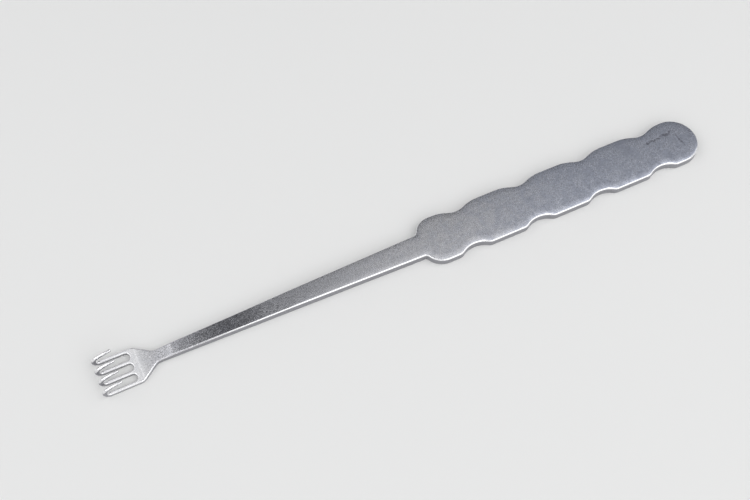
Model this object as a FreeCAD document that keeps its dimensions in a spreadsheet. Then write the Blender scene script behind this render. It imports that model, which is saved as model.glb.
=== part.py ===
import FreeCAD, Part
import Sketcher
import math
import os

# Handheld rake retractor: grip, shank and four curled prongs, ground from one piece of steel.
# X runs from the prongs (-X) to the round end of the grip (+X), the flat underside lies on
# Z = 0, the prongs curl up towards +Z, and the origin is under the middle of the length.

# Driving sizes, in millimetres, degrees and counts
SIZES = {
    "overallLength": 180.0,  # from the outside of the curls to the round end
    "handleThickness": 2.5,
    # grip
    "gripWidth": 14.4,
    "gripCornerRadius": 5.5,  # corners of the grip on the shank's side
    "collarLength": 13.7,  # from the grip's start to the first notch
    "notchCount": 4,
    "notchPitch": 20.0,
    "notchInset": 15.0,  # from the last notch to the round end
    "notchDepth": 1.5,
    "farNotchRadius": 5.5,
    "farShoulderRadius": 12.0,  # soft shoulders on the far side
    "nearNotchRadius": 7.0,
    "nearShoulderRadius": 2.5,  # crisper ones on the near side
    # shank, which narrows and thins towards the head
    "shankWidth": 7.1,
    "junctionRadius": 1.2,  # inner corner where the shank meets the grip
    "neckWidth": 3.4,
    "neckThickness": 2.0,
    "taperLength": 34.0,  # over which the thickness falls to neckThickness
    "taperStartRadius": 200.0,
    "thinningLength": 9.5,  # over which it falls on to headThickness
    "thinningRadius": 18.0,
    # head plate
    "headThickness": 1.2,
    "flareLength": 4.8,
    "flareRadius": 2.5,
    "palmLength": 1.25,  # from the slots' roots to the flare
    # prongs
    "prongCount": 4,
    "prongPitch": 3.1,
    "prongWidth": 1.0,
    "prongLength": 9.35,  # from the slots' roots to the outside of the curls
    "hookRadius": 1.6,  # bend at a prong's end, on its middle line
    "hookTurn": 153.5,
    "tipRadius": 14.3,  # gentle arc from the bend to the tip
    "tipTurn": 18.0,
    "tipWidth": 0.7,
    "tipThickness": 0.65,
    # edges
    "edgeRadius": 0.42,  # upper rim, and the inner side of the curls
    "edgeBevel": 0.3,  # under rim, and the outer side of the curls
    "tipBevel": 0.15,
}

# Lengths that several features share, as formulas on the sheet's cells
HALF_LENGTH = "Sizes.overallLength / 2"
GRIP_START = (
    f"({HALF_LENGTH} - Sizes.notchInset - (Sizes.notchCount - 1) * Sizes.notchPitch"
    " - Sizes.collarLength)"
)
SHANK_END = f"({GRIP_START} + Sizes.gripCornerRadius / 2)"
PLATE_START = f"({HALF_LENGTH} - Sizes.prongLength - Sizes.palmLength)"
NECK_START = f"({PLATE_START} - Sizes.flareLength)"
THINNING_START = f"({PLATE_START} - Sizes.thinningLength)"
TAPER_START = f"({THINNING_START} - Sizes.taperLength)"
HEAD_WIDTH = "((Sizes.prongCount - 1) * Sizes.prongPitch + Sizes.prongWidth)"
SLOT_WIDTH = "(Sizes.prongPitch - Sizes.prongWidth)"
OUTER_PRONG = "((Sizes.prongCount - 1) * Sizes.prongPitch / 2)"
EDGE_RADIUS = "min(Sizes.edgeRadius; 0.45 * Sizes.prongWidth; 0.45 * Sizes.headThickness)"
EDGE_BEVEL = "min(Sizes.edgeBevel; 0.3 * Sizes.prongWidth; 0.3 * Sizes.headThickness)"
TIP_RADIUS = "min(Sizes.edgeRadius; 0.45 * Sizes.tipWidth; 0.45 * Sizes.tipThickness)"
TIP_BEVEL = "min(Sizes.edgeBevel; 0.3 * Sizes.tipWidth; 0.3 * Sizes.tipThickness)"

# A prong thins evenly along its curl, so it is this thick where the curl reaches furthest out
CURL_LENGTH = "(Sizes.hookRadius * Sizes.hookTurn + Sizes.tipRadius * Sizes.tipTurn)"
CURL_THICKNESS = (
    "(Sizes.headThickness - (Sizes.headThickness - Sizes.tipThickness)"
    f" * Sizes.hookRadius * 90 / {CURL_LENGTH})"
)
BEND_START = f"({HALF_LENGTH} - Sizes.hookRadius - {CURL_THICKNESS} / 2)"

# Place of the tip in the prong's side view, from the bend's start
BEND = "(Sizes.hookTurn * 1 deg)"
TURN = "((Sizes.hookTurn + Sizes.tipTurn) * 1 deg)"
TIP_X = (
    f"(-{BEND_START} - Sizes.hookRadius * sin({BEND})"
    f" + Sizes.tipRadius * (sin({BEND}) - sin({TURN})))"
)
TIP_Z = (
    f"(Sizes.headThickness / 2 + Sizes.hookRadius * (1 - cos({BEND}))"
    f" + Sizes.tipRadius * (cos({BEND}) - cos({TURN})))"
)

# Names for a sketch's points and axes
START, END, CENTRE = range(1, 4)
ORIGIN_POINT = (-1, 1)
X_AXIS = -1

doc = FreeCAD.newDocument("retractor")
sheet = doc.addObject("Spreadsheet::Sheet", "Sizes")
for row, (alias, number) in enumerate(SIZES.items(), start=1):
    sheet.set(f"A{row}", alias)
    sheet.set(f"B{row}", str(number))
    sheet.setAlias(f"B{row}", alias)
doc.recompute()

body = doc.addObject("PartDesign::Body", "Retractor")
body.Label = "retractor"
body.Placement = FreeCAD.Placement()
volumes = [0.0]


def value(formula):
    return float(sheet.evalExpression(formula))


def origin_feature(role):
    return next(f for f in body.Origin.OriginFeatures if f.Role == role)


def new_sketch(name, plane, turned_over=False):
    """A sketch on an origin plane. One that is turned over about X has its +Y on the near side."""
    sketch = body.newObject("Sketcher::SketchObject", name)
    sketch.AttachmentSupport = (origin_feature(plane), [""])
    sketch.MapMode = "FlatFace"
    if turned_over:
        half_turn = FreeCAD.Rotation(FreeCAD.Vector(1, 0, 0), 180)
        sketch.AttachmentOffset = FreeCAD.Placement(FreeCAD.Vector(), half_turn)
    return sketch


def add_line(sketch, start, end):
    first = FreeCAD.Vector(*start, 0)
    last = FreeCAD.Vector(*end, 0)
    return sketch.addGeometry(Part.LineSegment(first, last))


def add_arc(sketch, centre, radius, start, end):
    circle = Part.Circle(FreeCAD.Vector(*centre, 0), FreeCAD.Vector(0, 0, 1), radius)
    return sketch.addGeometry(Part.ArcOfCircle(circle, math.radians(start), math.radians(end)))


def relate(sketch, *relations):
    for relation in relations:
        sketch.addConstraint(Sketcher.Constraint(*relation))


def measure(sketch, name, formula, *relation):
    """A named dimension that follows its formula."""
    number = value(formula)
    if relation[0] == "Angle":
        number = math.radians(number)
    index = sketch.addConstraint(Sketcher.Constraint(*relation, number))
    sketch.renameConstraint(index, name)
    sketch.setExpression(f"Constraints.{name}", formula)


def finish(sketch):
    doc.recompute()
    if not sketch.FullyConstrained:
        raise RuntimeError(f"{sketch.Name} is not fully constrained")


def settle(feature, adds):
    """Recomputes, and checks that the feature added or removed material as it should."""
    doc.recompute()
    change = feature.Shape.Volume - volumes[-1]
    print(f"{feature.Name}: {change:+.2f} mm3")
    if (change > 0) != adds:
        raise RuntimeError(f"{feature.Name} changed the solid the wrong way")
    volumes.append(feature.Shape.Volume)


def cut_through(name, outline):
    pocket = body.newObject("PartDesign::Pocket", name)
    pocket.Profile = outline
    pocket.Type = "ThroughAll"
    pocket.Midplane = True
    settle(pocket, adds=False)
    return pocket


def repeat(name, original, axis, spacing, count, adds, backwards=False):
    row = body.newObject("PartDesign::LinearPattern", name)
    row.Originals = [original]
    row.Direction = (origin_feature(axis), [""])
    row.Reversed = backwards
    row.Mode = "Spacing"
    row.setExpression("Offset", spacing)
    row.setExpression("Occurrences", count)
    body.Tip = row
    settle(row, adds)
    return row


def dress_edges(kind, name, base, edges, measure_name, size):
    """Rounds or bevels edges. Inner corners gain material by it, and outer ones lose some."""
    dressing = body.newObject(kind, name)
    dressing.Base = (base, edges)
    dressing.setExpression(measure_name, size)
    doc.recompute()
    print(f"{name}: {len(edges)} edges, {dressing.Shape.Volume - volumes[-1]:+.2f} mm3")
    volumes.append(dressing.Shape.Volume)
    return dressing


def round_edges(name, base, edges, radius):
    return dress_edges("PartDesign::Fillet", name, base, edges, "Radius", radius)


def bevel_edges(name, base, edges, size):
    return dress_edges("PartDesign::Chamfer", name, base, edges, "Size", size)


def edge_names(shape, chosen):
    return [f"Edge{number}" for number, edge in enumerate(shape.Edges, start=1) if chosen(edge)]


def upright_at(edge, chosen):
    """Whether an edge runs along Z, at a chosen x."""
    box = edge.BoundBox
    return box.XLength < 1e-3 and box.YLength < 1e-3 and chosen(box.Center.x)


def near(number, target):
    return abs(number - target) < 1e-3


# Grip seen from above: straight sides, a half-round free end and rounded corners at the shank
half_width = value("Sizes.gripWidth / 2")
corner = value("Sizes.gripCornerRadius")
grip_x = value(GRIP_START)
end_x = value(f"{HALF_LENGTH} - Sizes.gripWidth / 2")
grip_outline = new_sketch("GripOutline", "XY_Plane")
far_side = add_line(grip_outline, (grip_x + corner, half_width), (end_x, half_width))
round_end = add_arc(grip_outline, (end_x, 0), half_width, -90, 90)
near_side = add_line(grip_outline, (end_x, -half_width), (grip_x + corner, -half_width))
near_corner = add_arc(grip_outline, (grip_x + corner, corner - half_width), corner, 180, 270)
grip_end = add_line(grip_outline, (grip_x, corner - half_width), (grip_x, half_width - corner))
far_corner = add_arc(grip_outline, (grip_x + corner, half_width - corner), corner, 90, 180)
relate(
    grip_outline,
    ("Tangent", far_side, END, round_end, END),
    ("Tangent", round_end, START, near_side, START),
    ("Tangent", near_side, END, near_corner, END),
    ("Tangent", near_corner, START, grip_end, START),
    ("Tangent", grip_end, END, far_corner, END),
    ("Tangent", far_corner, START, far_side, START),
    ("Horizontal", far_side),
    ("Horizontal", near_side),
    ("Vertical", grip_end),
    ("Equal", far_corner, near_corner),
    ("PointOnObject", round_end, CENTRE, X_AXIS),
)
measure(grip_outline, "width", "Sizes.gripWidth", "DistanceY", near_side, START, far_side, END)
measure(grip_outline, "corner", "Sizes.gripCornerRadius", "Radius", far_corner)
measure(
    grip_outline, "roundEnd", f"{HALF_LENGTH} - Sizes.gripWidth / 2",
    "DistanceX", *ORIGIN_POINT, round_end, CENTRE,
)
measure(grip_outline, "gripStart", GRIP_START, "DistanceX", *ORIGIN_POINT, grip_end, START)
finish(grip_outline)

grip = body.newObject("PartDesign::Pad", "Grip")
grip.Profile = grip_outline
grip.setExpression("Length", "Sizes.handleThickness")
settle(grip, adds=True)

# Shank and head plate seen from above, out to where the prongs start to bend
shank_x = value(SHANK_END)
neck_x = -value(NECK_START)
plate_x = -value(PLATE_START)
bend_x = -value(BEND_START)
half_shank = value("Sizes.shankWidth / 2")
half_neck = value("Sizes.neckWidth / 2")
half_head = value(f"{HEAD_WIDTH} / 2")
blade_outline = new_sketch("BladeOutline", "XY_Plane")
far_corners = [(shank_x, half_shank), (neck_x, half_neck), (plate_x, half_head), (bend_x, half_head)]
corners = far_corners + [(x, -y) for x, y in reversed(far_corners)]
sides = [add_line(blade_outline, *ends) for ends in zip(corners, corners[1:] + corners[:1])]
for side, after in zip(sides, sides[1:] + sides[:1]):
    relate(blade_outline, ("Coincident", side, END, after, START))
far_shank, far_flank, far_plate, prong_ends, near_plate, near_flank, near_shank, inside = sides
relate(
    blade_outline,
    ("Symmetric", far_shank, START, near_shank, END, X_AXIS),
    ("Symmetric", far_flank, START, near_flank, END, X_AXIS),
    ("Symmetric", far_plate, START, near_plate, END, X_AXIS),
    ("Symmetric", prong_ends, START, prong_ends, END, X_AXIS),
    ("Horizontal", far_plate),
)
measure(blade_outline, "shank", "Sizes.shankWidth", "DistanceY", inside, START, inside, END)
measure(blade_outline, "neck", "Sizes.neckWidth", "DistanceY", near_flank, END, far_flank, START)
measure(blade_outline, "head", HEAD_WIDTH, "DistanceY", prong_ends, END, prong_ends, START)
measure(blade_outline, "shankEnd", SHANK_END, "DistanceX", *ORIGIN_POINT, far_shank, START)
measure(blade_outline, "neckStart", NECK_START, "DistanceX", far_flank, START, *ORIGIN_POINT)
measure(blade_outline, "plateStart", PLATE_START, "DistanceX", far_plate, START, *ORIGIN_POINT)
measure(blade_outline, "bendStart", BEND_START, "DistanceX", far_plate, END, *ORIGIN_POINT)
finish(blade_outline)

blade = body.newObject("PartDesign::Pad", "Blade")
blade.Profile = blade_outline
blade.setExpression("Length", "Sizes.handleThickness")
settle(blade, adds=True)



def notch_outline(name, hollow_size, shoulder_size, turned_over):
    """A hollow between two shoulders that run out into the grip's straight side."""
    notch_x = value(f"{HALF_LENGTH} - Sizes.notchInset")
    hollow_radius = value(hollow_size)
    shoulder_radius = value(shoulder_size)
    depth = value("Sizes.notchDepth")
    swing = math.degrees(math.acos(1 - depth / (hollow_radius + shoulder_radius)))
    reach = (hollow_radius + shoulder_radius) * math.sin(math.radians(swing))
    left_x = notch_x - reach
    right_x = notch_x + reach
    outline = new_sketch(name, "XY_Plane", turned_over)
    hollow = add_arc(
        outline, (notch_x, half_width - depth + hollow_radius), hollow_radius,
        270 - swing, 270 + swing,
    )
    left_shoulder = add_arc(
        outline, (left_x, half_width - shoulder_radius), shoulder_radius, 90 - swing, 90
    )
    right_shoulder = add_arc(
        outline, (right_x, half_width - shoulder_radius), shoulder_radius, 90, 90 + swing
    )
    left_wall = add_line(outline, (left_x, half_width), (left_x, half_width + depth))
    cover = add_line(outline, (left_x, half_width + depth), (right_x, half_width + depth))
    right_wall = add_line(outline, (right_x, half_width + depth), (right_x, half_width))
    relate(
        outline,
        ("Tangent", left_shoulder, START, hollow, START),
        ("Tangent", hollow, END, right_shoulder, END),
        ("Coincident", left_shoulder, END, left_wall, START),
        ("Coincident", left_wall, END, cover, START),
        ("Coincident", cover, END, right_wall, START),
        ("Coincident", right_wall, END, right_shoulder, START),
        ("Vertical", left_shoulder, END, left_shoulder, CENTRE),
        ("Vertical", right_shoulder, START, right_shoulder, CENTRE),
        ("Horizontal", left_shoulder, CENTRE, right_shoulder, CENTRE),
        ("Equal", left_shoulder, right_shoulder),
        ("Vertical", left_wall),
        ("Vertical", right_wall),
        ("Horizontal", cover),
    )
    measure(outline, "hollow", hollow_size, "Radius", hollow)
    measure(outline, "shoulder", shoulder_size, "Radius", left_shoulder)
    measure(
        outline, "place", f"{HALF_LENGTH} - Sizes.notchInset",
        "DistanceX", *ORIGIN_POINT, hollow, CENTRE,
    )
    measure(
        outline, "depth", f"Sizes.gripWidth / 2 - Sizes.notchDepth + {hollow_size}",
        "DistanceY", *ORIGIN_POINT, hollow, CENTRE,
    )
    measure(outline, "side", "Sizes.gripWidth / 2", "DistanceY", *ORIGIN_POINT, left_wall, START)
    measure(outline, "cover", "Sizes.notchDepth", "DistanceY", left_wall, START, left_wall, END)
    finish(outline)
    return outline


# The notches stand in a row on each side, from the round end towards the shank
notch_sides = {
    "Far": ("Sizes.farNotchRadius", "Sizes.farShoulderRadius", False),
    "Near": ("Sizes.nearNotchRadius", "Sizes.nearShoulderRadius", True),
}
for side, sizes in notch_sides.items():
    notch = cut_through(f"{side}Notch", notch_outline(f"{side}NotchOutline", *sizes))
    notches = repeat(
        f"{side}Notches", notch, "X_Axis", "Sizes.notchPitch", "Sizes.notchCount",
        adds=False, backwards=True,
    )

# Curves in plan where the neck flares into the head plate, and where the shank meets the grip
flare = round_edges(
    "Flare",
    notches,
    edge_names(
        notches.Shape,
        lambda edge: upright_at(edge, lambda x: near(x, neck_x) or near(x, plate_x)),
    ),
    "Sizes.flareRadius",
)
junction = round_edges(
    "Junction",
    flare,
    edge_names(flare.Shape, lambda edge: upright_at(edge, lambda x: grip_x < x < shank_x)),
    "Sizes.junctionRadius",
)

# Upper face seen from the side: it falls slowly along the shank, and faster into the head
top_z = value("Sizes.handleThickness")
neck_z = value("Sizes.neckThickness")
head_z = value("Sizes.headThickness")
taper_x = -value(TAPER_START)
brow_x = -value(THINNING_START)
taper_radius = value("Sizes.taperStartRadius")
thinning_radius = value("Sizes.thinningRadius")
slope_angle = math.degrees(math.atan2(top_z - neck_z, taper_x - brow_x))
fall_angle = math.degrees(math.atan2(neck_z - head_z, brow_x - plate_x))
front_x = -value(HALF_LENGTH)
top_profile = new_sketch("TopProfile", "XZ_Plane")
crown = add_arc(
    top_profile, (taper_x, top_z - taper_radius), taper_radius, 90, 90 + slope_angle
)
slope = add_line(top_profile, (taper_x, top_z), (brow_x, neck_z))
brow = add_arc(
    top_profile, (brow_x, neck_z - thinning_radius), thinning_radius,
    90 + slope_angle, 90 + fall_angle,
)
fall = add_line(top_profile, (brow_x, neck_z), (plate_x, head_z))
foot = add_arc(
    top_profile, (plate_x, head_z + thinning_radius), thinning_radius, 270, 270 + fall_angle
)
flat = add_line(top_profile, (plate_x, head_z), (front_x, head_z))
front = add_line(top_profile, (front_x, head_z), (front_x, 2 * top_z))
above = add_line(top_profile, (front_x, 2 * top_z), (taper_x, 2 * top_z))
back = add_line(top_profile, (taper_x, 2 * top_z), (taper_x, top_z))
relate(
    top_profile,
    ("Tangent", crown, END, slope, START),
    ("Tangent", slope, END, brow, START),
    ("Tangent", brow, END, fall, START),
    ("Tangent", fall, END, foot, END),
    ("Tangent", foot, START, flat, START),
    ("Coincident", flat, END, front, START),
    ("Coincident", front, END, above, START),
    ("Coincident", above, END, back, START),
    ("Coincident", back, END, crown, START),
    ("Vertical", crown, START, crown, CENTRE),
    ("Horizontal", flat),
    ("Vertical", front),
    ("Horizontal", above),
    ("Vertical", back),
    ("Equal", brow, foot),
)
measure(top_profile, "taperRadius", "Sizes.taperStartRadius", "Radius", crown)
measure(top_profile, "thinningRadius", "Sizes.thinningRadius", "Radius", brow)
measure(
    top_profile, "handle", "Sizes.handleThickness", "DistanceY", *ORIGIN_POINT, crown, START
)
measure(top_profile, "neck", "Sizes.neckThickness", "DistanceY", *ORIGIN_POINT, slope, END)
measure(top_profile, "head", "Sizes.headThickness", "DistanceY", *ORIGIN_POINT, flat, START)
measure(top_profile, "taperStart", TAPER_START, "DistanceX", crown, START, *ORIGIN_POINT)
measure(top_profile, "thinningStart", THINNING_START, "DistanceX", slope, END, *ORIGIN_POINT)
measure(top_profile, "plateStart", PLATE_START, "DistanceX", flat, START, *ORIGIN_POINT)
measure(top_profile, "front", HALF_LENGTH, "DistanceX", flat, END, *ORIGIN_POINT)
measure(top_profile, "above", "Sizes.handleThickness", "DistanceY", back, END, back, START)
finish(top_profile)
cut_through("Thinning", top_profile)

# One slot between two prongs, with a full-round root, open towards the prongs' ends
slot_radius = value(f"{SLOT_WIDTH} / 2")
root_x = -value(f"{HALF_LENGTH} - Sizes.prongLength + {SLOT_WIDTH} / 2")
slot_y = -value("(Sizes.prongCount - 2) * Sizes.prongPitch / 2")
slot_outline = new_sketch("SlotOutline", "XY_Plane")
root = add_arc(slot_outline, (root_x, slot_y), slot_radius, -90, 90)
far_wall = add_line(slot_outline, (root_x, slot_y + slot_radius), (front_x, slot_y + slot_radius))
mouth = add_line(slot_outline, (front_x, slot_y + slot_radius), (front_x, slot_y - slot_radius))
near_wall = add_line(slot_outline, (front_x, slot_y - slot_radius), (root_x, slot_y - slot_radius))
relate(
    slot_outline,
    ("Tangent", root, END, far_wall, START),
    ("Coincident", far_wall, END, mouth, START),
    ("Coincident", mouth, END, near_wall, START),
    ("Tangent", near_wall, END, root, START),
    ("Horizontal", far_wall),
    ("Horizontal", near_wall),
    ("Vertical", mouth),
)
measure(slot_outline, "width", SLOT_WIDTH, "DistanceY", mouth, END, mouth, START)
measure(
    slot_outline, "root", f"{HALF_LENGTH} - Sizes.prongLength + {SLOT_WIDTH} / 2",
    "DistanceX", root, CENTRE, *ORIGIN_POINT,
)
measure(slot_outline, "mouth", HALF_LENGTH, "DistanceX", mouth, START, *ORIGIN_POINT)
measure(
    slot_outline, "first", "(Sizes.prongCount - 2) * Sizes.prongPitch / 2",
    "DistanceY", root, CENTRE, *ORIGIN_POINT,
)
finish(slot_outline)
slot = cut_through("Slot", slot_outline)
slots = repeat("Slots", slot, "Y_Axis", "Sizes.prongPitch", "Sizes.prongCount - 1", adds=False)


def steepness(face, point):
    """How much of the face's normal is vertical at a point on it, from 0 to 1."""
    return abs(face.normalAt(*face.Surface.parameter(point)).z)


def rim_edges(shape, chosen):
    """Edges where a wall meets the upper or the under face, apart from the prongs' ends."""
    def on_rim(edge):
        middle = edge.valueAt((edge.FirstParameter + edge.LastParameter) / 2)
        steep = [steepness(face, middle) for face in shape.ancestorsOfType(edge, Part.Face)]
        level = min(steep) < 0.1 and max(steep) > 0.9
        return level and not near(middle.x, bend_x) and chosen(middle.z)
    return edge_names(shape, on_rim)


# The rim runs all round the outline and round each slot: rounded above, bevelled underneath
rim = round_edges(
    "UpperRim", slots, rim_edges(slots.Shape, lambda z: not near(z, 0)), EDGE_RADIUS
)
bevel_edges("UnderRim", rim, rim_edges(rim.Shape, lambda z: near(z, 0)), EDGE_BEVEL)

# Curl of the outermost prong, seen from the side: a tight bend, then a long gentle arc
bend_radius = value("Sizes.hookRadius")
arm_radius = value("Sizes.tipRadius")
bend_turn = value("Sizes.hookTurn")
arm_turn = value("Sizes.tipTurn")
bend_z = head_z / 2 + bend_radius
stretch = arm_radius - bend_radius
bend_end = math.radians(bend_turn)
arm_centre = (bend_x + stretch * math.sin(bend_end), bend_z + stretch * math.cos(bend_end))
curl_path = new_sketch("CurlPath", "XZ_Plane")
curl_path.setExpression("AttachmentOffset.Base.z", OUTER_PRONG)
bend = add_arc(curl_path, (bend_x, bend_z), bend_radius, 270 - bend_turn, 270)
arm = add_arc(
    curl_path, arm_centre, arm_radius, 270 - bend_turn - arm_turn, 270 - bend_turn
)
relate(
    curl_path,
    ("Tangent", arm, END, bend, START),
    ("Vertical", bend, END, bend, CENTRE),
)
measure(curl_path, "bendRadius", "Sizes.hookRadius", "Radius", bend)
measure(curl_path, "armRadius", "Sizes.tipRadius", "Radius", arm)
measure(curl_path, "bendTurn", "Sizes.hookTurn", "Angle", bend)
measure(curl_path, "armTurn", "Sizes.tipTurn", "Angle", arm)
measure(curl_path, "middle", "Sizes.headThickness / 2", "DistanceY", *ORIGIN_POINT, bend, END)
measure(curl_path, "bendStart", BEND_START, "DistanceX", bend, END, *ORIGIN_POINT)
finish(curl_path)


def section(name, width, thickness, inner_radius, outer_bevel, along, up, turn):
    """A prong's section across the curl, rounded on its inner side and bevelled on the outer."""
    sketch = new_sketch(name, "YZ_Plane")
    x = value(f"{width} / 2")
    y = value(f"{thickness} / 2")
    radius = value(inner_radius)
    bevel = value(outer_bevel)
    right_round = add_arc(sketch, (x - radius, radius - y), radius, 270, 360)
    right = add_line(sketch, (x, radius - y), (x, y - bevel))
    right_bevel = add_line(sketch, (x, y - bevel), (x - bevel, y))
    outer = add_line(sketch, (x - bevel, y), (bevel - x, y))
    left_bevel = add_line(sketch, (bevel - x, y), (-x, y - bevel))
    left = add_line(sketch, (-x, y - bevel), (-x, radius - y))
    left_round = add_arc(sketch, (radius - x, radius - y), radius, 180, 270)
    inner = add_line(sketch, (radius - x, -y), (x - radius, -y))
    relate(
        sketch,
        ("Tangent", inner, END, right_round, START),
        ("Tangent", right_round, END, right, START),
        ("Coincident", right, END, right_bevel, START),
        ("Coincident", right_bevel, END, outer, START),
        ("Coincident", outer, END, left_bevel, START),
        ("Coincident", left_bevel, END, left, START),
        ("Tangent", left, END, left_round, START),
        ("Tangent", left_round, END, inner, START),
        ("Horizontal", inner),
        ("Horizontal", outer),
        ("Vertical", right),
        ("Vertical", left),
        ("Equal", right_round, left_round),
        ("Equal", right_bevel, left_bevel),
        ("Equal", right, left),
    )
    measure(sketch, "width", width, "DistanceX", left, END, right, START)
    measure(sketch, "thickness", thickness, "DistanceY", inner, START, outer, START)
    measure(sketch, "innerRadius", inner_radius, "Radius", right_round)
    measure(sketch, "bevelWidth", outer_bevel, "DistanceX", right_bevel, END, right_bevel, START)
    measure(sketch, "bevelHeight", outer_bevel, "DistanceY", right_bevel, START, right_bevel, END)
    measure(sketch, "middle", f"{width} / 2", "DistanceX", *ORIGIN_POINT, right, START)
    measure(sketch, "outerSide", f"{thickness} / 2", "DistanceY", *ORIGIN_POINT, outer, START)
    turned = FreeCAD.Rotation(FreeCAD.Vector(1, 0, 0), value(turn))
    sketch.AttachmentOffset = FreeCAD.Placement(FreeCAD.Vector(), turned)
    sketch.setExpression("AttachmentOffset.Base.x", f"-{OUTER_PRONG}")
    sketch.setExpression("AttachmentOffset.Base.y", up)
    sketch.setExpression("AttachmentOffset.Base.z", along)
    sketch.setExpression("AttachmentOffset.Rotation.Angle", turn)
    finish(sketch)
    return sketch


# Each prong tapers evenly from its root section, which matches the rims, to its tip
prong_root = section(
    "ProngRoot", "Sizes.prongWidth", "Sizes.headThickness", EDGE_RADIUS, EDGE_BEVEL,
    f"-{BEND_START}", "Sizes.headThickness / 2", "-180 deg",
)
prong_tip = section(
    "ProngTip", "Sizes.tipWidth", "Sizes.tipThickness", TIP_RADIUS, TIP_BEVEL,
    TIP_X, TIP_Z, f"{TURN} - 180 deg",
)
curl = body.newObject("PartDesign::AdditivePipe", "Curl")
curl.Profile = prong_root
curl.Spine = (curl_path, ["Edge1", "Edge2"])
curl.Sections = [(prong_tip, [""])]
curl.Transformation = "Multisection"
settle(curl, adds=True)
curls = repeat("Curls", curl, "Y_Axis", "Sizes.prongPitch", "Sizes.prongCount", adds=True)


def at_tip(edge):
    """Whether an edge bounds the flat end of a prong."""
    return any(
        near(face.CenterOfMass.x, value(TIP_X)) and near(face.CenterOfMass.z, value(TIP_Z))
        for face in curls.Shape.ancestorsOfType(edge, Part.Face)
    )


# The tips are blunt, with a small bevel
bevel_edges(
    "Tips",
    curls,
    edge_names(curls.Shape, at_tip),
    "min(Sizes.tipBevel; 0.25 * Sizes.tipThickness; 0.25 * Sizes.tipWidth)",
)

for item in doc.Objects:
    if {"Invalid", "Error"} & set(item.State):
        raise RuntimeError(f"{item.Label} failed: {item.State}")
shape = body.Shape
if shape.isNull() or not shape.isValid() or len(shape.Solids) != 1:
    raise RuntimeError("the retractor is not one valid solid")
os.makedirs("parts", exist_ok=True)
shape.exportStep(f"parts/{body.Label}.step")
print(f"{body.Label}: {shape.Volume:.1f} mm3, {len(shape.Faces)} faces")
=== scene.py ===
import bpy
import math
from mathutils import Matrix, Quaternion, Vector


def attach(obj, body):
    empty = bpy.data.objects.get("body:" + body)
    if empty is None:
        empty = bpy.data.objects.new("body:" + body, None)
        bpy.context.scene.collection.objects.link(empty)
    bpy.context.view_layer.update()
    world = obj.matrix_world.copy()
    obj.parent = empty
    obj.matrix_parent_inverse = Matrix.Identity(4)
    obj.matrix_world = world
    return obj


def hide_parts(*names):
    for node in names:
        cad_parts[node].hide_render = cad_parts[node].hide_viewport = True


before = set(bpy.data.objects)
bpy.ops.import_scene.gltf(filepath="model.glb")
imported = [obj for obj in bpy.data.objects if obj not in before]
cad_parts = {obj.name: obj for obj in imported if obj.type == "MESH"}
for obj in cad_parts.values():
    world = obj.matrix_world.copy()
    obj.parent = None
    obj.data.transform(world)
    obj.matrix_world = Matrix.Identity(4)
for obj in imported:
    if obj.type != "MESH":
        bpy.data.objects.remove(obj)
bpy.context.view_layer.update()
print("frame loaded")

# Camera: a long reach above the near side, with the prongs low on the left
camera = {
    "place": (-0.07203, -0.11801, 0.24850),
    "aim": (-0.00994, 0.00507, 0.0),
    "roll": 1.60,  # degrees
    "lens": 49.97,
    "sensor": 36.0,
    "clipStart": 0.01,
}
cameraData = bpy.data.cameras.new("photoCamera")
cameraData.lens = camera["lens"]
cameraData.sensor_width = camera["sensor"]
cameraData.clip_start = camera["clipStart"]
photoCamera = bpy.data.objects.new("photoCamera", cameraData)
bpy.context.scene.collection.objects.link(photoCamera)
photoCamera.rotation_mode = "QUATERNION"
photoCamera.location = camera["place"]
view = Vector(camera["aim"]) - Vector(camera["place"])
roll = Quaternion((0, 0, 1), math.radians(camera["roll"]))
photoCamera.rotation_quaternion = view.to_track_quat("-Z", "Y") @ roll
bpy.context.scene.camera = photoCamera
bpy.context.scene.view_settings.view_transform = "Standard"
print("camera placed")


# Small helpers for node trees
def addNode(tree, kind, inputs=None, **settings):
    node = tree.nodes.new(kind)
    for name, value in settings.items():
        setattr(node, name, value)
    for name, value in (inputs or {}).items():
        plug(tree, value, node.inputs[name])
    return node


def plug(tree, value, socket):
    if isinstance(value, bpy.types.NodeSocket):
        tree.links.new(value, socket)
    else:
        socket.default_value = value


def calc(tree, operation, first, second=0.0, third=0.0, clamp=False):
    node = addNode(tree, "ShaderNodeMath", operation=operation, use_clamp=clamp)
    for socket, value in zip(node.inputs, (first, second, third)):
        plug(tree, value, socket)
    return node.outputs[0]


def product(tree, first, *others):
    for other in others:
        first = calc(tree, "MULTIPLY", first, other)
    return first


def vectorCalc(tree, operation, first, second=(0, 0, 0)):
    node = addNode(tree, "ShaderNodeVectorMath", operation=operation)
    plug(tree, first, node.inputs[0])
    plug(tree, second, node.inputs[1])
    return node.outputs["Value" if operation in ("DOT_PRODUCT", "LENGTH") else "Vector"]


def mixed(tree, factor, first, second):
    node = addNode(tree, "ShaderNodeMix", data_type="FLOAT")
    for socket, value in zip((0, 2, 3), (factor, first, second)):
        plug(tree, value, node.inputs[socket])
    return node.outputs[0]


def blend(tree, factor, first, second, mode="MIX"):
    node = addNode(tree, "ShaderNodeMix", data_type="RGBA", blend_type=mode)
    for socket, value in zip((0, 6, 7), (factor, first, second)):
        plug(tree, value, node.inputs[socket])
    return node.outputs[2]


def fade(tree, value, start, end, low=0.0, high=1.0):
    node = addNode(
        tree, "ShaderNodeMapRange", interpolation_type="SMOOTHSTEP",
        inputs={"Value": value, "From Min": start, "From Max": end, "To Min": low, "To Max": high},
    )
    return node.outputs["Result"]


def stretched(tree, coordinates, scale, turn):
    node = addNode(
        tree, "ShaderNodeMapping",
        inputs={"Vector": coordinates, "Scale": scale, "Rotation": (0, 0, math.radians(turn))},
    )
    return node.outputs["Vector"]


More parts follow.
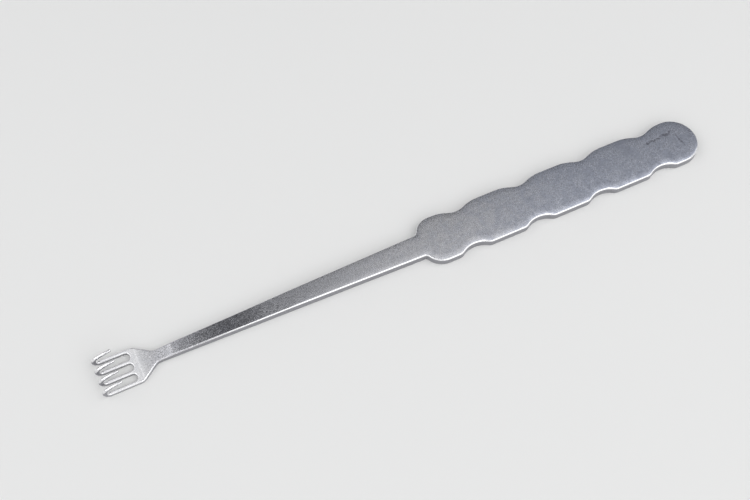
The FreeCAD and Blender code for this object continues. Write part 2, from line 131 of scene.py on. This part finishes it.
def noise(tree, coordinates, scale, detail, roughness, distortion=0.0):
    node = addNode(
        tree, "ShaderNodeTexNoise",
        inputs={
            "Vector": coordinates, "Scale": scale, "Detail": detail,
            "Roughness": roughness, "Distortion": distortion,
        },
    )
    return node.outputs["Fac"]


def newGroup(name, inputs, outputs):
    group = bpy.data.node_groups.new(name, "ShaderNodeTree")
    for socketName, kind in inputs.items():
        group.interface.new_socket(socketName, in_out="INPUT", socket_type=kind)
    for socketName in outputs:
        group.interface.new_socket(socketName, in_out="OUTPUT", socket_type="NodeSocketFloat")
    groupInput = group.nodes.new("NodeGroupInput")
    groupOutput = group.nodes.new("NodeGroupOutput")
    return group, groupInput.outputs, groupOutput.inputs


# Surroundings: a pale floor that fades into an even backdrop, under a soft sky
studio = {
    "floorColour": (0.80, 0.80, 0.79, 1),
    "floorRoughness": 0.75,
    "floorSpecular": 0.2,
    "floorSize": 6.0,
    "backdrop": (0.72, 0.72, 0.715, 1),
    "backdropStart": (0.25, 0.60),  # metres from the middle
    "horizon": (0.80, 0.80, 0.81, 1),
    "farSky": (0.105, 0.108, 0.117, 1),
    "nearSky": (0.62, 0.625, 0.64, 1),
    "nearSkyStart": (0.15, -0.25),  # how far a direction points to the far side
    "horizonEnd": (0.0, 0.70),  # and how far up
}
bpy.ops.object.select_all(action="DESELECT")
bpy.ops.mesh.primitive_plane_add(size=studio["floorSize"])
floor = bpy.context.object
floor.name = "floor"
floorMaterial = bpy.data.materials.new("paleFloor")
floorMaterial.use_nodes = True
floorTree = floorMaterial.node_tree
floorShader = floorTree.nodes["Principled BSDF"]
floorShader.inputs["Base Color"].default_value = studio["floorColour"]
floorShader.inputs["Roughness"].default_value = studio["floorRoughness"]
floorShader.inputs["Specular IOR Level"].default_value = studio["floorSpecular"]
floorPlace = addNode(floorTree, "ShaderNodeTexCoord").outputs["Object"]
floorReach = vectorCalc(floorTree, "LENGTH", floorPlace)
seen = addNode(floorTree, "ShaderNodeLightPath").outputs["Is Camera Ray"]
floorEnd = addNode(floorTree, "ShaderNodeEmission", inputs={"Color": studio["backdrop"]})
floorFade = addNode(
    floorTree, "ShaderNodeMixShader",
    inputs={
        0: product(floorTree, seen, fade(floorTree, floorReach, *studio["backdropStart"])),
        1: floorShader.outputs["BSDF"],
        2: floorEnd.outputs["Emission"],
    },
)
floorSurface = floorTree.nodes["Material Output"].inputs["Surface"]
plug(floorTree, floorFade.outputs["Shader"], floorSurface)
floor.data.materials.append(floorMaterial)

world = bpy.data.worlds.new("softSky")
bpy.context.scene.world = world
world.use_nodes = True
sky = world.node_tree
direction = addNode(sky, "ShaderNodeTexCoord").outputs["Generated"]
direction = addNode(sky, "ShaderNodeSeparateXYZ", inputs={"Vector": direction}).outputs
nearShare = fade(sky, direction["Y"], *studio["nearSkyStart"])
upShare = fade(sky, direction["Z"], *studio["horizonEnd"])
skyColour = blend(sky, nearShare, studio["farSky"], studio["nearSky"])
skyColour = blend(sky, upShare, studio["horizon"], skyColour)
seen = addNode(sky, "ShaderNodeLightPath").outputs["Is Camera Ray"]
skyColour = blend(sky, seen, skyColour, studio["backdrop"])
plug(sky, skyColour, sky.nodes["Background"].inputs["Color"])
print("floor and sky made")

# Soft lamps: level panels overhead, each with its centre, width, depth, turn and radiance
lampHeight = 0.60
lamps = {
    "platePanel": {"centre": (-0.1245, 0.20), "size": (0.081, 1.00), "turn": 0, "radiance": 0.98},
    "neckPanel": {"centre": (-0.2925, 0.20), "size": (0.255, 1.00), "turn": 0, "radiance": 0.60},
    "curlPanel": {"centre": (-0.86, 0.20), "size": (0.88, 1.00), "turn": 0, "radiance": 1.4},
    "gripPanel": {"centre": (0.484, -0.327), "size": (1.00, 1.10), "turn": -9, "radiance": 1.10},
    "leftFill": {"centre": (-0.715, -1.25), "size": (1.17, 0.70), "turn": 0, "radiance": 1.3},
    "rightFill": {"centre": (0.365, -1.25), "size": (0.67, 0.70), "turn": 0, "radiance": 1.3},
}
for lampName, settings in lamps.items():
    lampData = bpy.data.lights.new(lampName, "AREA")
    lampData.shape = "RECTANGLE"
    lampData.size, lampData.size_y = settings["size"]
    area = lampData.size * lampData.size_y
    lampData.energy = settings["radiance"] * area * math.pi  # watts for an even radiance
    lamp = bpy.data.objects.new(lampName, lampData)
    bpy.context.scene.collection.objects.link(lamp)
    lamp.location = (*settings["centre"], lampHeight)
    lamp.rotation_euler.z = math.radians(settings["turn"])
print("lamps placed")

# The steel piece starts as a merged copy of the solid, and its prongs are bent one by one
retractor = {
    "name": "retractor_steel",
    "mergeDistance": 1e-6,
    "flatAngle": 0.2,  # degrees, faces flatter than this become one
    "prongBends": (-2.2, -0.6, 0.0, 1.2),  # degrees more curl, from the far prong to the near one
    "bendCentre": (-0.0860, 0.0006),  # x and z where a prong gives
    "prongPitch": 0.0031,
    "crownEnd": -0.0395,  # x, a face whose middle lies past it gets the rings
    "crownStart": 0.0,  # x, the rings rise past it, over the grip
    "halfWidth": 0.0072,
    "crownFaces": 5e-6,  # square metres, smaller faces belong to the rims
    "crownLevel": 0.999,  # how far up a face of the crown points
    "crownRings": (  # width, and rise along the far side and along the near side
        (0.00025, 0.000005, 0.000028), (0.0004, 0.000008, 0.000018),
        (0.0005, 0.000006, 0.000010), (0.0005, 0.000003, 0.000004),
    ),
    "normalWeight": 50,
}

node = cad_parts["retractor"]
steel = bpy.data.objects.new(retractor["name"], node.data.copy())
bpy.context.scene.collection.objects.link(steel)
steel.data.materials.clear()
bpy.ops.object.select_all(action="DESELECT")
steel.select_set(True)
bpy.context.view_layer.objects.active = steel
bpy.ops.object.mode_set(mode="EDIT")
bpy.ops.mesh.select_all(action="SELECT")
bpy.ops.mesh.customdata_custom_splitnormals_clear()
bpy.ops.mesh.remove_doubles(threshold=retractor["mergeDistance"])
bpy.ops.mesh.dissolve_limited(angle_limit=math.radians(retractor["flatAngle"]))
bpy.ops.object.mode_set(mode="OBJECT")


def selectVertices(mesh, chosen):
    for part in (mesh.vertices, mesh.edges, mesh.polygons):
        part.foreach_set("select", [False] * len(part))
    for vertex in mesh.vertices:
        vertex.select = chosen(vertex.co)


bendX, bendZ = retractor["bendCentre"]
pitch = retractor["prongPitch"]
bends = retractor["prongBends"]
for number, turn in enumerate(bends):
    prongY = ((len(bends) - 1) / 2 - number) * pitch
    selectVertices(steel.data, lambda co: co.x < bendX and abs(co.y - prongY) < pitch / 2)
    bpy.ops.object.mode_set(mode="EDIT")
    bpy.ops.mesh.select_mode(type="VERT")
    bpy.ops.transform.rotate(
        value=math.radians(turn), orient_axis="Y", center_override=(bendX, prongY, bendZ)
    )
    bpy.ops.object.mode_set(mode="OBJECT")

# The grip's upper face rises a little from its rim in four rings, so it is softly crowned
selectVertices(steel.data, lambda co: False)
for face in steel.data.polygons:
    broad = face.area > retractor["crownFaces"] and face.normal.z > retractor["crownLevel"]
    face.select = broad and face.center.x > retractor["crownEnd"]
bpy.ops.object.mode_set(mode="EDIT")
bpy.ops.mesh.select_mode(type="FACE")
for ringWidth, farRise, nearRise in retractor["crownRings"]:
    bpy.ops.mesh.inset(thickness=ringWidth, depth=0, use_even_offset=True)
    bpy.ops.object.mode_set(mode="OBJECT")
    for vertex in steel.data.vertices:
        if vertex.select and vertex.co.x > retractor["crownStart"]:
            nearness = 0.5 - 0.5 * vertex.co.y / retractor["halfWidth"]
            vertex.co.z += farRise + (nearRise - farRise) * nearness
    bpy.ops.object.mode_set(mode="EDIT")
bpy.ops.object.mode_set(mode="OBJECT")

bpy.ops.object.shade_smooth()
weighted = steel.modifiers.new("evenNormals", "WEIGHTED_NORMAL")
weighted.mode = "FACE_AREA"
weighted.weight = retractor["normalWeight"]
bpy.ops.object.modifier_apply(modifier=weighted.name)
print("steel piece shaped:", len(steel.data.vertices), "points")

# Steel: blasted and tumbled on the grip, brushed across on the shank, polished at the head
finish = {
    "headColour": (0.80, 0.80, 0.81, 1),
    "steelColour": (0.62, 0.62, 0.645, 1),
    "coolColour": (0.55, 0.575, 0.655, 1),
    "cloudColour": (0.40, 0.424, 0.50, 1),
    # The rims' pale colour is a painted highlight along the rounded edges, standing in for the
    # light they catch
    "rimPaintedHighlight": (0.90, 0.90, 0.91, 1),
    # The side walls' dark colour is painted shade, standing in for the shade they are in
    "wallPaintedShade": (0.36, 0.36, 0.385, 1),
    "scratchColour": (0.10, 0.10, 0.12, 1),
    "scratchShare": 0.9,  # of that colour
    "gripRoughness": 0.27,
    "shankRoughness": 0.15,
    "headRoughness": 0.13,
    "rimRoughness": 0.18,
    "wallRoughness": 0.42,
    "scratchRoughness": 0.6,
    "grainRoughness": 0.22,  # span that the grain adds
    "cloudRoughness": 0.05,  # what a cloud adds
    "grainDepth": 0.0000035,
    "brushDepth": 0.000007,
    "scratchDepth": 0.00001,
    # noises: scale, detail, roughness and distortion
    "grain": (3200, 2.0, 0.6),
    "clouds": (340, 7.0, 0.72, 0.9),
    "mottle": (1100, 3.0, 0.6),
    "blotches": (1700, 3.0, 0.6),
    "brush": (1.0, 2.0, 0.6),
    "brushStretch": (3200, 260, 260),
    "brushTurn": 6,  # degrees
    "wobble": {"Scale": 900.0, "Detail": 2.0},
    # fades of a noise: from, to, and the values there where they aren't 0 and 1
    "cloudEdge": (0.41, 0.60),
    "speckle": (0.3, 0.7, 0.66, 1.28),
    "blotchEdge": (0.40, 0.56, 0.30, 1.0),
    # fades of a normal's upright share
    "rimTilt": (0.15, 0.45),
    "faceTilt": (0.997, 0.94),
    "topTilt": (0.8, 0.95),
    # fades along x, some as two that are multiplied
    "headStart": (-0.0740, -0.0800),
    "headGrain": (-0.0740, -0.0800, 1.0, 0.2),
    "shankStart": (-0.040, -0.056),
    "coolStart": (0.005, 0.055),
    "cloudStart": (-0.02, 0.07, 0.15, 0.88),
    "speckleSpan": (-0.040, -0.058, 0.5, 0.9),
    "mottleSpans": ((-0.035, -0.058, 0.55, 1.5), (-0.057, -0.066, 1.0, 0.2)),
    "brushSpans": ((-0.005, -0.055, 0.15, 1.0), (-0.059, -0.068, 1.0, 0.3)),
    # Spans where the rims get their real polish and their painted highlight
    "polishAndHighlightSpans": ((-0.064, -0.052, 0.2, 1.0), (-0.0765, -0.0790, 0.2, 1.0)),  # the greater one
    "scratchWobble": (0.0006, 0.0006, 0),
    "scratches": (  # width, strength and points of each
        (0.00060, 0.95, (
            (0.0753, 0.0024), (0.0767, 0.0028), (0.0778, 0.0025), (0.0790, 0.0025),
            (0.0809, 0.0032), (0.0820, 0.0027), (0.0834, 0.0032),
        )),
        (0.00034, 0.60, (
            (0.0834, 0.0038), (0.0846, 0.0032), (0.0852, 0.0025), (0.0845, 0.0015),
        )),
        (0.00030, 0.85, ((0.0845, 0.0015), (0.0848, -0.0005), (0.0850, -0.0023))),
        (0.00026, 0.50, ((0.0830, 0.0026), (0.0837, 0.0003))),
        (0.00026, 0.45, (
            (0.0746, -0.0009), (0.0741, -0.0029), (0.0744, -0.0041), (0.0751, -0.0051),
        )),
    ),
    "scratchCore": 0.45,  # share of a scratch's width that is full
}

# One stroke of a scratch, from start to end, seen from above
scratchStroke, given, wanted = newGroup(
    "scratchStroke",
    {
        "Place": "NodeSocketVector", "Start": "NodeSocketVector",
        "End": "NodeSocketVector", "Width": "NodeSocketFloat",
    },
    ["Mask"],
)
stroke = vectorCalc(scratchStroke, "SUBTRACT", given["End"], given["Start"])
reach = vectorCalc(scratchStroke, "SUBTRACT", given["Place"], given["Start"])
share = calc(
    scratchStroke, "DIVIDE", vectorCalc(scratchStroke, "DOT_PRODUCT", reach, stroke),
    vectorCalc(scratchStroke, "DOT_PRODUCT", stroke, stroke), clamp=True,
)
nearest = addNode(
    scratchStroke, "ShaderNodeVectorMath", operation="SCALE", inputs={0: stroke, "Scale": share}
)
aside = vectorCalc(scratchStroke, "SUBTRACT", reach, nearest.outputs["Vector"])
distance = vectorCalc(scratchStroke, "LENGTH", aside)
core = calc(scratchStroke, "MULTIPLY", given["Width"], finish["scratchCore"])
plug(scratchStroke, fade(scratchStroke, distance, given["Width"], core), wanted["Mask"])

material = bpy.data.materials.new("satinSteel")
material.use_nodes = True
tree = material.node_tree
shader = tree.nodes["Principled BSDF"]
shader.inputs["Metallic"].default_value = 1.0
texture = addNode(tree, "ShaderNodeTexCoord")
place = texture.outputs["Object"]
alongX = addNode(tree, "ShaderNodeSeparateXYZ", inputs={"Vector": place}).outputs["X"]
upright = addNode(
    tree, "ShaderNodeSeparateXYZ", inputs={"Vector": texture.outputs["Normal"]}
).outputs["Z"]
tilt = calc(tree, "ABSOLUTE", upright)
# Rounded rims: this mask carries their real polish (roughness) and a painted highlight (pale
# colour)
rimPolishAndHighlightMask = product(
    tree, fade(tree, tilt, *finish["rimTilt"]), fade(tree, tilt, *finish["faceTilt"])
)
polishAndHighlight = [fade(tree, alongX, *span) for span in finish["polishAndHighlightSpans"]]
rimPolishAndHighlightMask = product(tree, rimPolishAndHighlightMask, calc(tree, "MAXIMUM", *polishAndHighlight))  # the rims stay dull and get no painted highlight along the neck
# Side walls: this mask carries a painted shade (dark colour) and a rougher finish (roughness)
wallShadeAndRoughnessMask = fade(tree, tilt, *reversed(finish["rimTilt"]))
topMask = fade(tree, upright, *finish["topTilt"])
headMask = fade(tree, alongX, *finish["headStart"])

grain = noise(tree, place, *finish["grain"])
grainShare = fade(tree, alongX, *finish["headGrain"])
brushPlace = stretched(tree, place, finish["brushStretch"], finish["brushTurn"])
brush = noise(tree, brushPlace, *finish["brush"])
clouds = noise(tree, place, *finish["clouds"])
mottle = noise(tree, place, *finish["mottle"])
blotches = noise(tree, place, *finish["blotches"])
cloudMask = product(
    tree, fade(tree, clouds, *finish["cloudEdge"]), fade(tree, alongX, *finish["cloudStart"])
)

# The scratch wanders a little and breaks up along its way
flatPlace = vectorCalc(tree, "MULTIPLY", place, (1, 1, 0))
wobble = addNode(tree, "ShaderNodeTexNoise", inputs={"Vector": place, **finish["wobble"]})
wobble = vectorCalc(tree, "SUBTRACT", wobble.outputs["Color"], (0.5, 0.5, 0.5))
wobbled = addNode(
    tree, "ShaderNodeVectorMath", operation="MULTIPLY_ADD",
    inputs={0: wobble, 1: finish["scratchWobble"], 2: flatPlace},
).outputs["Vector"]
strokes = []
for width, strength, points in finish["scratches"]:
    for start, end in zip(points, points[1:]):
        strokeNode = addNode(
            tree, "ShaderNodeGroup", node_tree=scratchStroke,
            inputs={"Place": wobbled, "Start": (*start, 0), "End": (*end, 0), "Width": width},
        )
        strokes.append(calc(tree, "MULTIPLY", strokeNode.outputs["Mask"], strength))
scratchMask = strokes[0]
for strokeMask in strokes[1:]:
    scratchMask = calc(tree, "MAXIMUM", scratchMask, strokeMask)
scratchMask = product(tree, scratchMask, fade(tree, blotches, *finish["blotchEdge"]), topMask)

# Colour: steel, cooler towards the round end and whiter at the head, then clouds and grain
coolMask = fade(tree, alongX, *finish["coolStart"])
colour = blend(tree, coolMask, finish["steelColour"], finish["coolColour"])
colour = blend(tree, headMask, colour, finish["headColour"])
colour = blend(tree, cloudMask, colour, finish["cloudColour"])
speckleShare = product(tree, grainShare, fade(tree, alongX, *finish["speckleSpan"]))
speckle = mixed(tree, speckleShare, 1.0, fade(tree, grain, *finish["speckle"]))
mottleFades = [fade(tree, alongX, *span) for span in finish["mottleSpans"]]
mottleSpan = product(tree, grainShare, *mottleFades)
mottled = calc(tree, "MULTIPLY_ADD", calc(tree, "SUBTRACT", mottle, 0.5), mottleSpan, 1.0)
colour = blend(tree, 1.0, colour, product(tree, speckle, mottled), "MULTIPLY")
# The rounded rims are painted pale: a painted highlight along the edges
colour = blend(tree, rimPolishAndHighlightMask, colour, finish["rimPaintedHighlight"])
# The side walls are painted darker: painted shade
colour = blend(tree, wallShadeAndRoughnessMask, colour, finish["wallPaintedShade"])
scratchShare = product(tree, scratchMask, finish["scratchShare"])
colour = blend(tree, scratchShare, colour, finish["scratchColour"])
plug(tree, colour, shader.inputs["Base Color"])

shankMask = fade(tree, alongX, *finish["shankStart"])
roughness = mixed(tree, shankMask, finish["gripRoughness"], finish["shankRoughness"])
roughness = mixed(tree, headMask, roughness, finish["headRoughness"])
unevenness = product(tree, calc(tree, "SUBTRACT", grain, 0.5), grainShare)
roughness = calc(tree, "MULTIPLY_ADD", unevenness, finish["grainRoughness"], roughness)
roughness = calc(tree, "MULTIPLY_ADD", cloudMask, finish["cloudRoughness"], roughness)
roughness = mixed(tree, rimPolishAndHighlightMask, roughness, finish["rimRoughness"])
roughness = mixed(tree, wallShadeAndRoughnessMask, roughness, finish["wallRoughness"])
roughness = mixed(tree, scratchMask, roughness, finish["scratchRoughness"])
plug(tree, roughness, shader.inputs["Roughness"])

# Height: grain everywhere but at the head, brush marks across the shank, and the scratch
brushFades = [fade(tree, alongX, *span) for span in finish["brushSpans"]]
heights = (
    (product(tree, grain, grainShare), finish["grainDepth"], False),
    (product(tree, brush, *brushFades), finish["brushDepth"], False),
    (scratchMask, finish["scratchDepth"], True),
)
normal = None
for height, depth, inward in heights:
    bump = addNode(
        tree, "ShaderNodeBump", invert=inward, inputs={"Height": height, "Distance": depth}
    )
    if normal is not None:
        plug(tree, normal, bump.inputs["Normal"])
    normal = bump.outputs["Normal"]
plug(tree, normal, shader.inputs["Normal"])
steel.data.materials.append(material)
print("steel finished")

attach(steel, "root")
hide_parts("retractor")
